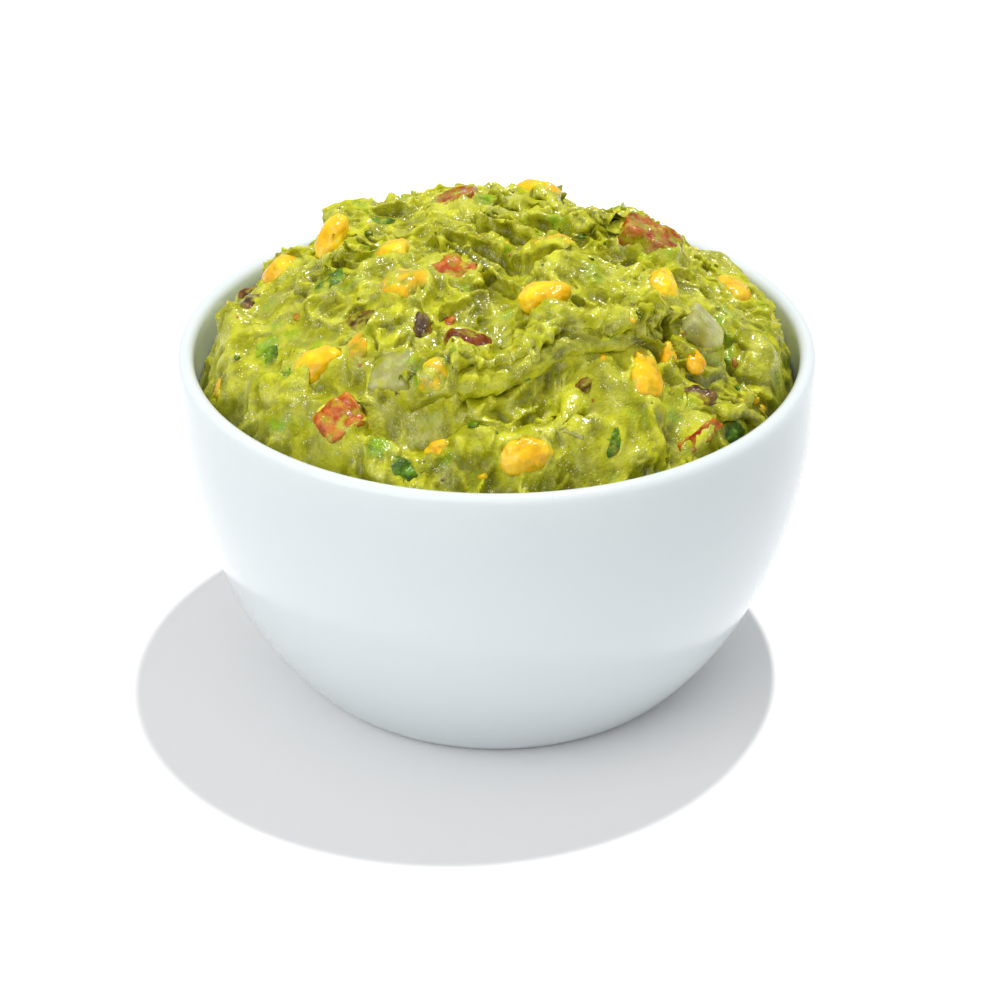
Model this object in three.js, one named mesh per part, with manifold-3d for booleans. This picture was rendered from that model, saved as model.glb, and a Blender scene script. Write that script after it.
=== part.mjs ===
// A deep round porcelain bowl heaped with chunky guacamole. The mound stands about a thumb's width above
// the lip and is studded with roasted corn kernels, diced tomato and onion, pepper and herb leaves.
// The frame has +Z up and its origin under the middle of the bowl, on the surface that it stands on.
// The side at -Y is the front. Every length is in millimetres and every angle in degrees.
import * as THREE from "three";
import { mergeVertices } from "three/addons/utils/BufferGeometryUtils.js";
import Module from "manifold-3d";

const wasm = await Module();
wasm.setup();

// Driving dimensions of the bowl
const BOWL_DIAMETER = 150;
const BOWL_HEIGHT = 84.5;
const WALL = 4;
const BELLY_HEIGHT = 73.5; // where the outside reaches its full diameter
const BELLY_REACH = 93; // how far below that the outside would close to a point
const BELLY_SQUARENESS = 2.2;
const THICKER_FOOT = 1.5; // what the wall gains towards the floor of the bowl
const FLOOR_HEIGHT = 5;
const FLOOR_CORNER = 7.5;
const FLOOR_EASE = 5;
const FOOT_DIAMETER = 95;
const FOOT_WIDTH = 4;
const FOOT_RECESS = 1.8;
const FOOT_EDGE = 0.8;
const BOWL_SIDES = 44;
const INSIDE_HEIGHTS = [17, 38, 60, 80]; // heights at which the inner wall bends

// Driving dimensions of the guacamole
const MOUND_TOP = 110;
const MOUND_FULLNESS = 3.4; // 2 is a paraboloid, and more gives fuller shoulders
const EDGE_HEIGHT = 72.8; // mean height at which the guacamole meets the bowl
const EDGE_SWAY = 0.6; // higher at the front and back, lower at the sides
const EDGE_RIPPLE = 1.4;
const FIT_GAP = 0.35; // clearance between two solids that touch
const EDGE_FADE = 5; // relief dies out over this distance from the bowl
const MOUND_REACH = 76; // how far the mound is modelled before the bowl cuts it off
const GUACAMOLE_DETAIL = 16;
const CAP_ANGLE = 75; // how much of a ball, down from its pole, is spread out into the mound

const GOLDEN_ANGLE = Math.PI * (3 - Math.sqrt(5));
const DOWN = new THREE.Vector3(0, 0, -1);
const radians = THREE.MathUtils.degToRad;

// A repeatable number from 0 to 1 for each whole number.
function scatter(i) {
  const wave = Math.sin(i * 12.9898 + 4.1414) * 43758.5453;
  return wave - Math.floor(wave);
}

// Outer and inner radius of the bowl at a height.
function outerRadius(z) {
  const depth = Math.max(0, BELLY_HEIGHT - z) / BELLY_REACH;
  return (BOWL_DIAMETER / 2) * (1 - depth ** 2) ** (1 / BELLY_SQUARENESS);
}
function innerRadius(z) {
  const low = Math.max(0, 1 - z / BELLY_HEIGHT);
  return outerRadius(z) - WALL - THICKER_FOOT * low ** 2;
}

// Strokes left by the spoon: ridges stand up and grooves go down. The steep side lies to the left of the
// way the stroke runs, and its crest falls there within a third of its width.
const STROKES = [
  { name: "rolled_fold", path: [[34, -30], [8, -51], [-17, -48]], width: 5.5, height: 6.4, steep: 1 },
  { name: "groove_under_fold", path: [[16, -52], [-4, -58], [-26, -54]], width: 3.6, height: -4 },
  { name: "lower_ridge", path: [[20, -55], [-2, -60], [-28, -60]], width: 4, height: 3.2 },
  { name: "left_ridge", path: [[-28, -58], [-52, -42], [-62, -6]], width: 4.6, height: 4.2 },
  { name: "left_crease", path: [[-57, -20], [-46, -36], [-29, -47]], width: 3.6, height: -3.6 },
  { name: "spoon_print", path: [[4, -13], [1, -30], [0, -40]], width: 6, height: -4.4 },
  { name: "print_bank", path: [[13, -14], [9, -26], [14, -38]], width: 4, height: 3 },
  { name: "right_dome", path: [[21, -47], [27, -51], [33, -51]], width: 7.5, height: 4 },
  { name: "cavity", path: [[14, -52], [18, -53], [23, -52]], width: 2.6, height: -5 },
  { name: "right_flake", path: [[44, -42], [54, -36], [60, -30]], width: 4, height: 4, steep: 1 },
  { name: "outer_flake", path: [[56, -36], [63, -28], [66, -18]], width: 3.5, height: 3 },
  { name: "chunk_gap", path: [[50, -20], [53, -28], [60, -26]], width: 3, height: -3.6 },
  { name: "avocado_chunk", path: [[55, -13], [60, -14], [62, -20]], width: 6, height: 4.4 },
  { name: "left_shoulder", path: [[-36, 4], [-38, 16], [-38, 26]], width: 6.5, height: 4.6, steep: 1 },
  { name: "left_drop", path: [[-50, 22], [-48, 32], [-44, 40]], width: 4.5, height: -2 },
  { name: "left_flank", path: [[-61, -22], [-67, -4], [-60, 6]], width: 4.6, height: 4.6 },
  { name: "right_flank", path: [[64, -18], [66, 0], [55, 14]], width: 5.2, height: 6 },
  { name: "back_right_bank", path: [[40, 54], [48, 48], [55, 38]], width: 4, height: 2.4 },
  { name: "back_fold", path: [[-42, 46], [-8, 62], [36, 50]], width: 4, height: 2.6, steep: 1 },
  { name: "back_groove", path: [[-32, 50], [4, 63], [36, 52]], width: 4, height: -2.8 },
  { name: "back_print", path: [[21, 26], [24, 36], [23, 46]], width: 7.5, height: -6 },
];
const STROKE_STEPS = 10;
const STEEP_SHARE = 0.34;

// Short diagonal ridges torn up across the crown, one behind the other.
const TORN_RIDGES = 7;
const TORN_START = [-4, -12];
const TORN_STEP = [4.6, 6.2];
const TORN_LENGTH = 24;
const TORN_TURN = -32;
const TORN_WIDTH = 2.8;
const TORN_HEIGHT = 3.4;

// Lumps and hollows of mashed avocado, spread over the mound on a spiral.
const LUMPS = 150;
const LUMP_RADIUS = [3, 5.6];
const LUMP_HEIGHT = 2.6;

function strokeLine(path) {
  const [a, b, c] = path.map(([x, y]) => new THREE.Vector2(x, y));
  return new THREE.QuadraticBezierCurve(a, b, c).getPoints(STROKE_STEPS);
}

// The torn ridges as strokes, so that one function raises them all.
function tornRidges() {
  return Array.from({ length: TORN_RIDGES }, (_, i) => {
    const x = TORN_START[0] + TORN_STEP[0] * i;
    const y = TORN_START[1] + TORN_STEP[1] * i;
    const turn = radians(TORN_TURN + 22 * (scatter(i) - 0.5));
    const length = TORN_LENGTH * (0.6 + 0.6 * scatter(i + 40));
    const dx = (Math.cos(turn) * length) / 2;
    const dy = (Math.sin(turn) * length) / 2;
    const bow = 3 * (scatter(i + 70) - 0.5);
    return {
      path: [[x + dx, y + dy], [x + bow, y - bow], [x - dx, y - dy]],
      width: TORN_WIDTH,
      height: TORN_HEIGHT * (0.7 + 0.6 * scatter(i + 90)),
      steep: 1,
    };
  });
}

const strokes = [...STROKES, ...tornRidges()].map((s) => ({ ...s, line: strokeLine(s.path) }));

const lumps = Array.from({ length: LUMPS }, (_, i) => {
  const away = (innerRadius(EDGE_HEIGHT) - 2) * Math.sqrt((i + 0.5) / LUMPS);
  const angle = i * GOLDEN_ANGLE + 0.5 * scatter(i + 300);
  return {
    x: away * Math.cos(angle),
    y: away * Math.sin(angle),
    radius: THREE.MathUtils.lerp(LUMP_RADIUS[0], LUMP_RADIUS[1], scatter(i + 500)),
    height: LUMP_HEIGHT * (2 * scatter(i + 700) - 0.95),
  };
});

// Height that one stroke adds at a point.
function strokeHeight(stroke, x, y) {
  let nearest = Infinity;
  let side = 1;
  for (let i = 0; i + 1 < stroke.line.length; i++) {
    const a = stroke.line[i];
    const along = { x: stroke.line[i + 1].x - a.x, y: stroke.line[i + 1].y - a.y };
    const from = { x: x - a.x, y: y - a.y };
    const share = (from.x * along.x + from.y * along.y) / (along.x ** 2 + along.y ** 2);
    const t = THREE.MathUtils.clamp(share, 0, 1);
    const gap = Math.hypot(from.x - t * along.x, from.y - t * along.y);
    if (gap < nearest) {
      nearest = gap;
      side = along.x * from.y - along.y * from.x;
    }
  }
  const width = stroke.steep && side > 0 ? stroke.width * STEEP_SHARE : stroke.width;
  return stroke.height * Math.exp(-((nearest / width) ** 2));
}

function relief(x, y) {
  let height = 0;
  for (const stroke of strokes) height += strokeHeight(stroke, x, y);
  for (const lump of lumps) {
    const away = Math.hypot(x - lump.x, y - lump.y) / lump.radius;
    if (away < 2.5) height += lump.height * Math.exp(-(away ** 2));
  }
  return height;
}

// Height at which the guacamole meets the bowl, by the angle round it.
function edgeHeight(angle) {
  return EDGE_HEIGHT - EDGE_SWAY * Math.cos(2 * angle) + EDGE_RIPPLE * Math.sin(5 * angle + 0.14);
}

// Radius of the filling at a height. It follows the bends of the inner wall and clears its flat sides.
function fillRadius(z) {
  const heights = [FLOOR_CORNER, ...INSIDE_HEIGHTS];
  const above = z > heights.at(-1) ? heights.length - 1 : Math.max(1, heights.findIndex((h) => h >= z));
  const [low, high] = heights.slice(above - 1, above + 1);
  const wall = THREE.MathUtils.mapLinear(z, low, high, innerRadius(low), innerRadius(high));
  return wall * Math.cos(Math.PI / BOWL_SIDES) - FIT_GAP;
}

// Height of the mound's surface over a point.
function surface(x, y) {
  const edge = edgeHeight(Math.atan2(y, x));
  const reach = fillRadius(edge);
  const away = Math.min(Math.hypot(x, y), reach);
  const dome = (MOUND_TOP - edge) * (1 - (away / reach) ** MOUND_FULLNESS);
  return edge + dome + relief(x, y) * Math.min(1, (reach - away) / EDGE_FADE);
}
function surfaceNormal(x, y) {
  const step = 2.5;
  const slopeX = (surface(x + step, y) - surface(x - step, y)) / (2 * step);
  const slopeY = (surface(x, y + step) - surface(x, y - step)) / (2 * step);
  return new THREE.Vector3(-slopeX, -slopeY, 1).normalize();
}

// Geometry and solids

// One vertex for each place, and no triangle that has shrunk to a line.
function welded(geometry) {
  const bare = geometry.clone();
  for (const name of Object.keys(bare.attributes)) if (name !== "position") bare.deleteAttribute(name);
  const merged = mergeVertices(bare, 1e-4);
  const kept = [];
  for (let i = 0; i < merged.index.count; i += 3) {
    const [a, b, c] = [0, 1, 2].map((k) => merged.index.getX(i + k));
    if (a !== b && b !== c && c !== a) kept.push(a, b, c);
  }
  return merged.setIndex(kept);
}
function moved(geometry, place) {
  const position = geometry.getAttribute("position");
  const point = new THREE.Vector3();
  for (let i = 0; i < position.count; i++) {
    place(point.fromBufferAttribute(position, i));
    position.setXYZ(i, point.x, point.y, point.z);
  }
  return geometry;
}
function solid(geometry) {
  const mesh = welded(geometry);
  return new wasm.Manifold(
    new wasm.Mesh({
      numProp: 3,
      vertProperties: new Float32Array(mesh.getAttribute("position").array),
      triVerts: new Uint32Array(mesh.index.array),
    }),
  );
}
function geometryOf(body) {
  const { vertProperties, triVerts, numVert, numProp } = body.getMesh();
  const points = new Float32Array(numVert * 3);
  for (let i = 0; i < numVert; i++) points.set(vertProperties.subarray(i * numProp, i * numProp + 3), i * 3);
  const geometry = new THREE.BufferGeometry();
  geometry.setAttribute("position", new THREE.BufferAttribute(points, 3));
  return geometry.setIndex(new THREE.BufferAttribute(triVerts, 1));
}

// The bowl: one turned profile, from the middle of its floor up over the lip and down to the foot.
function bowlGeometry() {
  const lip = WALL / 2;
  const lipHeight = BOWL_HEIGHT - lip;
  const lipMiddle = BOWL_DIAMETER / 2 - lip;
  const foot = FOOT_DIAMETER / 2;
  const profile = [
    [0, FLOOR_HEIGHT],
    [innerRadius(FLOOR_CORNER) - FLOOR_EASE, FLOOR_HEIGHT],
  ];
  for (const z of [FLOOR_CORNER, ...INSIDE_HEIGHTS]) profile.push([innerRadius(z), z]);
  for (let i = 0; i <= 4; i++) {
    const turn = Math.PI * (1 - i / 4);
    profile.push([lipMiddle + lip * Math.cos(turn), lipHeight + lip * Math.sin(turn)]);
  }
  for (const z of [66, 50, 35, 23, 13, 5]) profile.push([outerRadius(z), z]);
  profile.push([foot + FOOT_EDGE, FOOT_EDGE], [foot, 0], [foot - FOOT_WIDTH, 0]);
  profile.push([foot - FOOT_WIDTH - FOOT_EDGE, FOOT_RECESS], [0, FOOT_RECESS]);
  const points = profile.reverse().map(([r, z]) => new THREE.Vector2(r, z));
  return new THREE.LatheGeometry(points, BOWL_SIDES).rotateX(Math.PI / 2);
}

// The mound: the cap of a fine ball is spread out flat and raised to the surface, and reaches past the
// wall of the bowl. The rest of the ball ends below the bowl.
function moundGeometry() {
  const cap = radians(CAP_ANGLE);
  const ball = welded(new THREE.IcosahedronGeometry(1, GUACAMOLE_DETAIL));
  return moved(ball, (p) => {
    const angle = Math.atan2(p.y, p.x);
    const polar = Math.acos(THREE.MathUtils.clamp(p.z, -1, 1));
    const away = (MOUND_REACH * Math.sin(Math.min(polar, cap) / 2)) / Math.sin(cap / 2);
    const shrink = polar > cap ? (Math.PI - polar) / (Math.PI - cap) : 1;
    p.x = away * shrink * Math.cos(angle);
    p.y = away * shrink * Math.sin(angle);
    p.z = polar > cap ? -MOUND_REACH * Math.sin((polar - cap) / 2) : surface(p.x, p.y);
  });
}

// The room in the bowl, continued straight up over its inner wall.
function roomGeometry() {
  const floor = FLOOR_HEIGHT + FIT_GAP;
  const profile = [[0, 2 * BOWL_HEIGHT], [fillRadius(INSIDE_HEIGHTS.at(-1)), 2 * BOWL_HEIGHT]];
  for (const z of [...INSIDE_HEIGHTS].reverse()) profile.push([fillRadius(z), z]);
  profile.push([fillRadius(FLOOR_CORNER), FLOOR_CORNER + FIT_GAP]);
  profile.push([fillRadius(FLOOR_CORNER) - FLOOR_EASE, floor], [0, floor]);
  const points = profile.reverse().map(([r, z]) => new THREE.Vector2(r, z));
  return new THREE.LatheGeometry(points, BOWL_SIDES).rotateX(Math.PI / 2);
}

// The forms of the pieces. Each lies flat, with its length along X and its upper side along +Z, and each
// takes an extra margin, so that its pocket in the guacamole is the same form a little larger.

// A corn kernel: plump and squarish, narrower at the tip than at the crown.
function kernel({ length, width, thick, seed }, margin) {
  const form = new THREE.IcosahedronGeometry(1, 1);
  const blunt = 2.7;
  const taper = 0.16 + 0.12 * scatter(seed);
  return moved(form, (p) => {
    const size = (Math.abs(p.x) ** blunt + Math.abs(p.y) ** blunt + Math.abs(p.z) ** blunt) ** (1 / blunt);
    p.divideScalar(size);
    const narrow = 1 - taper * (p.x + 0.3);
    const x = p.x * (length / 2 + margin);
    const y = p.y * ((width / 2) * narrow + margin);
    const z = p.z * ((thick / 2) * (1 - 0.4 * taper * p.x) + margin);
    p.set(x, y, z);
  });
}

// A dice of tomato or onion: a box cut by hand, so its faces lean and its edges are soft.
function dice({ length, width, thick, seed }, margin) {
  const form = new THREE.BoxGeometry(2, 2, 2, 3, 3, 3);
  const flat = 0.72;
  const lean = [0, 1, 2].map((k) => 0.22 * (scatter(seed + 11 * k) - 0.5));
  return moved(form, (p) => {
    const outer = [p.x, p.y, p.z].filter((v) => Math.abs(v) > 0.9).length;
    const soft = [1, 1, 0.94, 0.87][outer];
    const [x, y, z] = [p.x, p.y, p.z].map((v) => (Math.abs(v) > 0.9 ? v * soft : Math.sign(v) * flat));
    p.x = x * (length / 2 + margin) * (1 + lean[0] * y);
    p.y = y * (width / 2 + margin) * (1 + lean[1] * x);
    p.z = z * (thick / 2 + margin) * (1 + lean[2] * x);
  });
}

// A strip of pepper: a thick skin that curls over across its length.
function strip({ length, width, thick, seed }, margin) {
  const form = new THREE.BoxGeometry(2, 2, 2, 4, 3, 1);
  const curl = 0.1 + 0.06 * scatter(seed);
  return moved(form, (p) => {
    const end = Math.abs(p.x) > 0.9 ? 0.8 : 1;
    const edge = Math.abs(p.y) > 0.9 ? 0.75 : 1;
    const y = p.y * end * (width / 2 + margin);
    const x = p.x * (length / 2 + margin);
    const z = p.z * edge * (thick / 2 + margin) - curl * y * y * (4 / width) - (0.03 * x * x * 6) / length;
    p.set(x, y, z);
  });
}

// A torn herb leaf: a thin lobed sheet with a wave in it.
function leaf({ length, width, thick, seed }, margin) {
  const half = thick / 2 + margin;
  const profile = [[0, -half], [0.6, -half], [1, -margin], [1, margin], [0.6, half], [0, half]];
  const points = profile.map(([r, z]) => new THREE.Vector2(r, z));
  const form = new THREE.LatheGeometry(points, 12).rotateX(Math.PI / 2);
  const phase = 6 * scatter(seed);
  return moved(form, (p) => {
    const angle = Math.atan2(p.y, p.x);
    const out = Math.hypot(p.x, p.y);
    const lobe = 1 - 0.2 * out * (0.5 + 0.5 * Math.cos(3 * angle + phase)) - 0.08 * out * Math.cos(5 * angle);
    const x = p.x * (length / 2 + margin) * lobe;
    const y = p.y * (width / 2 + margin) * lobe;
    const wave = 0.09 * length * Math.sin(1.5 * p.x + phase) * out - (0.5 * y * y) / width;
    p.set(x, y, p.z + wave);
  });
}

// The pieces that show. Each lies at a place on the mound, its length turned from +X about the mound's
// normal, its far end tipped up, and its middle raised out of the surface.
const CORN = { form: kernel, length: 11, width: 8, thick: 6, rise: 0.7, colour: 0xf0c020 };
const TOMATO = { form: dice, length: 9, width: 8.5, thick: 7, rise: 0, colour: 0xc04a20 };
const ONION = { form: dice, length: 10.5, width: 9, thick: 5, rise: -0.6, colour: 0xd8dcb4 };
const PEPPER = { form: strip, length: 9, width: 7, thick: 2, rise: 0.7, colour: 0x39422a };
const LEAF = { form: leaf, length: 10, width: 8, thick: 1, rise: 0.6, colour: 0x2f6a22 };

const FRONT_PIECES = [
  { ...CORN, name: "corn_left_bright", at: [-37, 3], turn: 38, length: 12, width: 7.5, rise: 1.3, tip: 8 },
  { ...CORN, name: "corn_left_edge", at: [-50, 9], turn: 10, length: 9.5, width: 8.5, rise: 1.2 },
  { ...CORN, name: "corn_upper_left", at: [-23, -5], turn: 62, length: 10, width: 7.5, rise: 0.6 },
  { ...CORN, name: "corn_pale", at: [-19.5, -25], turn: 25, length: 12, width: 9.5, rise: 1.2 },
  {
    ...CORN, name: "corn_middle_bright", at: [11, -31],
    turn: 14, length: 11.5, width: 8.5, rise: 1.5, tip: -6,
  },
  { ...CORN, name: "corn_left_bright_low", at: [-39, -34], turn: 4, length: 12, width: 7.5, rise: 1.1 },
  { ...CORN, name: "corn_sunk", at: [-29.5, -36.5], turn: 70, length: 8.5, width: 7, rise: -0.4 },
  { ...CORN, name: "corn_right_golden", at: [31.5, -43], turn: 104, length: 12.5, width: 9, rise: 1.2 },
  { ...CORN, name: "corn_front", at: [6.2, -61], turn: 18, length: 11.5, width: 8.5, rise: 1.1 },
  { ...CORN, name: "corn_top", at: [10, 25], turn: -18, length: 10.5, width: 7.5, rise: 1.6 },
  { ...CORN, name: "corn_upper_middle", at: [12.5, -8], turn: -6, length: 10.5, width: 7, rise: 0.1 },
  { ...CORN, name: "corn_upper_right", at: [36.5, -15.5], turn: 92, length: 10.5, width: 7.5, rise: 1.2 },
  { ...CORN, name: "corn_right_edge", at: [54.5, 2.5], turn: 118, length: 11, width: 8, rise: 0.5 },
  { ...CORN, name: "corn_in_fold", at: [-13, -49.5], turn: 80, length: 8, width: 7.5, rise: 0.9 },
  { ...TOMATO, name: "tomato_front_left", at: [-33.5, -52], turn: 28, length: 9.5, width: 8.5, rise: 0.8 },
  { ...TOMATO, name: "tomato_upper_middle", at: [-9.5, -14.5], turn: 58, length: 11, width: 10, rise: 0.1 },
  { ...TOMATO, name: "tomato_top", at: [-9.5, 21.5], turn: 6, length: 11, width: 8, thick: 6, rise: 1.5 },
  {
    ...TOMATO, name: "tomato_right", at: [34.5, 1.5],
    turn: -12, length: 13.5, width: 9.5, thick: 7.5, rise: 1,
  },
  { ...TOMATO, name: "tomato_dark", at: [-6.5, -40], turn: 4, length: 9, width: 6, thick: 5, rise: 0 },
  { ...TOMATO, name: "tomato_strip", at: [43.5, -47], turn: 52, length: 12, width: 3.4, thick: 4, rise: 0.9 },
  { ...ONION, name: "onion_left", at: [-22.5, -44.5], turn: -24, length: 11, width: 9.5 },
  { ...ONION, name: "onion_right", at: [45, -24.5], turn: -8, length: 10, width: 9.5, thick: 7, rise: 0.6 },
  {
    ...ONION, name: "onion_front", at: [16.5, -57],
    turn: -30, length: 7.5, width: 5.5, thick: 4, rise: -0.3,
  },
  { ...PEPPER, name: "pepper_charred", at: [-29.5, -26.5], turn: -42, length: 10, width: 7.5 },
  {
    ...PEPPER, name: "pepper_curled", at: [-16.5, -33.5],
    turn: 96, length: 7.5, width: 5.5, thick: 2.4, rise: 1.2,
  },
  {
    ...PEPPER, name: "pepper_right", at: [44.5, -40],
    turn: -14, length: 8, width: 5.5, thick: 2.4, rise: 1.2,
  },
  { ...PEPPER, name: "pepper_left_edge", at: [-57.5, -2], turn: 78, length: 9, width: 5.5, rise: 0.6 },
  { ...LEAF, name: "leaf_upper_left", at: [-38, -10.5], turn: 42, length: 12, width: 8.5 },
  { ...LEAF, name: "leaf_left", at: [-50.5, -22.5], turn: 75, length: 8, width: 6 },
  { ...LEAF, name: "leaf_front_left", at: [-20.5, -61.5], turn: -35, length: 9, width: 6.5 },
  { ...LEAF, name: "leaf_front_right", at: [25, -57.5], turn: 70, length: 10, width: 5.5 },
  { ...LEAF, name: "leaf_right", at: [53, -39.5], turn: 60, length: 10.5, width: 8.5, thick: 2.2, rise: 0.4 },
  { ...LEAF, name: "leaf_crown", at: [-26.5, 12], turn: 22, length: 11, width: 5 },
];

// The far side carries the same mix, on arcs round the bowl's middle.
const BACK_ARCS = [
  {
    away: 61, from: 36, to: 158, sink: 0,
    kinds: ["corn", "tomato", "corn", "pepper", "corn", "onion", "corn", "leaf"],
  },
  { away: 53, from: 82, to: 139, sink: 1.2, kinds: ["tomato", "leaf", "corn"] },
];
const KINDS = { corn: CORN, tomato: TOMATO, onion: ONION, pepper: PEPPER, leaf: LEAF };

function backPieces() {
  const pieces = [];
  for (const arc of BACK_ARCS) {
    arc.kinds.forEach((kind, i) => {
      const place = pieces.length;
      const step = arc.kinds.length > 1 ? (arc.to - arc.from) / (arc.kinds.length - 1) : 0;
      const angle = radians(arc.from + step * i + 5 * (scatter(place + 900) - 0.5));
      const away = arc.away + 3 * (scatter(place + 950) - 0.5);
      pieces.push({
        ...KINDS[kind],
        name: `${kind}_back_${place + 1}`,
        at: [away * Math.cos(angle), away * Math.sin(angle)],
        turn: 180 * scatter(place + 970),
        rise: KINDS[kind].rise - arc.sink - 0.6 * scatter(place + 990),
      });
    });
  }
  return pieces;
}

// Bits too small to be pieces of their own: torn corn skins, specks of pepper and char. They are part of the
// guacamole. Each has its place, its size across and how far it stands out of the surface.
const BITS = [
  { name: "corn_bit_right", at: [45, -33.5], size: 6.5, rise: 1 },
  { name: "corn_bit_by_pepper", at: [37.5, -36], size: 5.5, rise: 0.4 },
  { name: "corn_bit_on_fold", at: [4.5, -43.5], size: 6, rise: 1.4 },
  { name: "corn_bit_front_left", at: [-13, -58.5], size: 6, rise: 0.5 },
  { name: "corn_bit_right_wall", at: [60.5, -27], size: 4.5, rise: 0.8 },
  { name: "corn_bit_left_wall", at: [-63.5, -20], size: 4.5, rise: 0.6 },
  { name: "pepper_bit_middle", at: [20.5, -31.5], size: 5, rise: 0.5 },
  { name: "pepper_bit_by_fold", at: [-10.5, -32.5], size: 4, rise: 0.3 },
  { name: "pepper_bit_left", at: [-58, 7], size: 5, rise: 0.8 },
  { name: "char_bit_right", at: [30.5, -26.5], size: 4.5, rise: 0.5 },
  { name: "tomato_bit_right", at: [36, -28.5], size: 4.5, rise: 0.7 },
  { name: "brown_bit_in_cavity", at: [18.5, -50], size: 4.5, rise: 0.2 },
];

function bitSolid(bit, i) {
  const [x, y] = bit.at;
  const centre = new THREE.Vector3(x, y, surface(x, y)).addScaledVector(surfaceNormal(x, y), bit.rise);
  const form = new THREE.IcosahedronGeometry(bit.size / 2, 0).scale(1, 0.8, 0.8);
  form.rotateZ(6 * scatter(i + 60)).translate(centre.x, centre.y, centre.z);
  return solid(form);
}

// Where a piece lies: its Z along the mound's normal, turned, tipped and raised.
function pose(piece) {
  const [x, y] = piece.at;
  const normal = surfaceNormal(x, y);
  const level = new THREE.Quaternion().setFromUnitVectors(new THREE.Vector3(0, 0, 1), normal);
  const turn = new THREE.Quaternion().setFromAxisAngle(new THREE.Vector3(0, 0, 1), radians(piece.turn));
  const tip = new THREE.Quaternion().setFromAxisAngle(new THREE.Vector3(0, 1, 0), radians(-(piece.tip ?? 0)));
  const middle = new THREE.Vector3(x, y, surface(x, y)).addScaledVector(DOWN, piece.thick * 0.1);
  return {
    position: middle.addScaledVector(normal, piece.rise),
    quaternion: level.multiply(turn).multiply(tip),
  };
}

function mesh(name, geometry, colour, roughness) {
  const material = new THREE.MeshStandardMaterial({ color: colour, roughness, metalness: 0 });
  const made = new THREE.Mesh(welded(geometry), material);
  made.geometry.computeVertexNormals();
  made.name = name;
  return made;
}

const dish = new THREE.Group();
dish.add(mesh("bowl", bowlGeometry(), 0xe9eef1, 0.15));

const pieces = [...FRONT_PIECES, ...backPieces()].map((piece, i) => ({ ...piece, seed: i + 1 }));
let guacamole = solid(moundGeometry());
BITS.forEach((bit, i) => (guacamole = guacamole.add(bitSolid(bit, i))));
guacamole = guacamole.intersect(solid(roomGeometry()));
for (const piece of pieces) {
  const { position, quaternion } = pose(piece);
  const turned = new THREE.Matrix4().compose(position, quaternion, new THREE.Vector3(1, 1, 1));
  guacamole = guacamole.subtract(solid(piece.form(piece, FIT_GAP).applyMatrix4(turned)));
  const made = mesh(piece.name, piece.form(piece, 0), piece.colour, 0.35);
  made.position.copy(position);
  made.quaternion.copy(quaternion);
  dish.add(made);
}
const [largest] = guacamole.decompose().sort((a, b) => b.volume() - a.volume());
dish.add(mesh("guacamole", geometryOf(largest), 0xa9ad2a, 0.4));

export default dish;
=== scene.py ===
# Chunky guacamole heaped in a deep white porcelain bowl, with roasted corn, tomato, onion, pepper and herbs.
# The front is -Y. Shapes are worked out in millimetres and written to the meshes in metres.
import math

import bmesh
import bpy
import numpy as np
from mathutils import Matrix, Quaternion, Vector
from mathutils.bvhtree import BVHTree


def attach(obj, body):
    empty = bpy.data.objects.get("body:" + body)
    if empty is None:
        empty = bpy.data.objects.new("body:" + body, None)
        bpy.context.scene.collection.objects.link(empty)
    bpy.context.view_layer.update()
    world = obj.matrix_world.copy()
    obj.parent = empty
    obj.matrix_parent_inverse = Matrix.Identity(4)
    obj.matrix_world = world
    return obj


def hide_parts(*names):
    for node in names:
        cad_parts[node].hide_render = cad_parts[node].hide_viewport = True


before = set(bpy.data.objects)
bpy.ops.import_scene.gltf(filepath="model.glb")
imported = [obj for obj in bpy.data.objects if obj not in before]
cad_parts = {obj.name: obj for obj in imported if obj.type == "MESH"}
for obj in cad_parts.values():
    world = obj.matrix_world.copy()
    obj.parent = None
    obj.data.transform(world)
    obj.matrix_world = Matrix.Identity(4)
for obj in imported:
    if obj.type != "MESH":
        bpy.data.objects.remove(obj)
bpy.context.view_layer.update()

MM = 0.001
SAME_PLACE = 1e-6  # m; corners nearer than this are merged
GOLDEN_ANGLE = math.pi * (3 - math.sqrt(5))


# Sizes of the bowl, as in the solid

BOWL_RADIUS = 75
BOWL_HEIGHT = 84.5
WALL = 4
BELLY_HEIGHT = 73.5  # where the outside reaches its full radius
BELLY_REACH = 93  # how far below that the outside would close to a point
BELLY_SQUARENESS = 2.2
THICKER_FOOT = 1.5  # what the wall gains towards the floor of the bowl
FLOOR_HEIGHT = 5
FOOT_RADIUS = 47.5
FOOT_WIDTH = 4
FOOT_RECESS = 1.8

# The finished bowl is turned more finely than the solid: in this many steps, with a point at these heights.
BOWL_STEPS = 160
OUTSIDE_HEIGHTS = [2, 4, 7, 11, 16, 22, 28, 35, 42, 50, 58, 66, 73, 79]
INSIDE_HEIGHTS = [79, 74, 68, 60, 50, 40, 30, 20, 12, 8]


# Sizes of the mound, as in the solid

MOUND_TOP = 110
MOUND_FULLNESS = 3.4  # 2 is a paraboloid, and more gives fuller shoulders
EDGE_HEIGHT = 72.8  # mean height at which the guacamole meets the bowl
EDGE_SWAY = 0.6  # higher at the front and back, lower at the sides
EDGE_RIPPLE = 1.4
EDGE_FADE = 5  # strokes and lumps die out over this distance from the bowl
FIT_GAP = 0.35  # clearance between the guacamole and the wall
STEEP_SHARE = 0.34  # width of a stroke's steep side, as a share of the other

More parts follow.
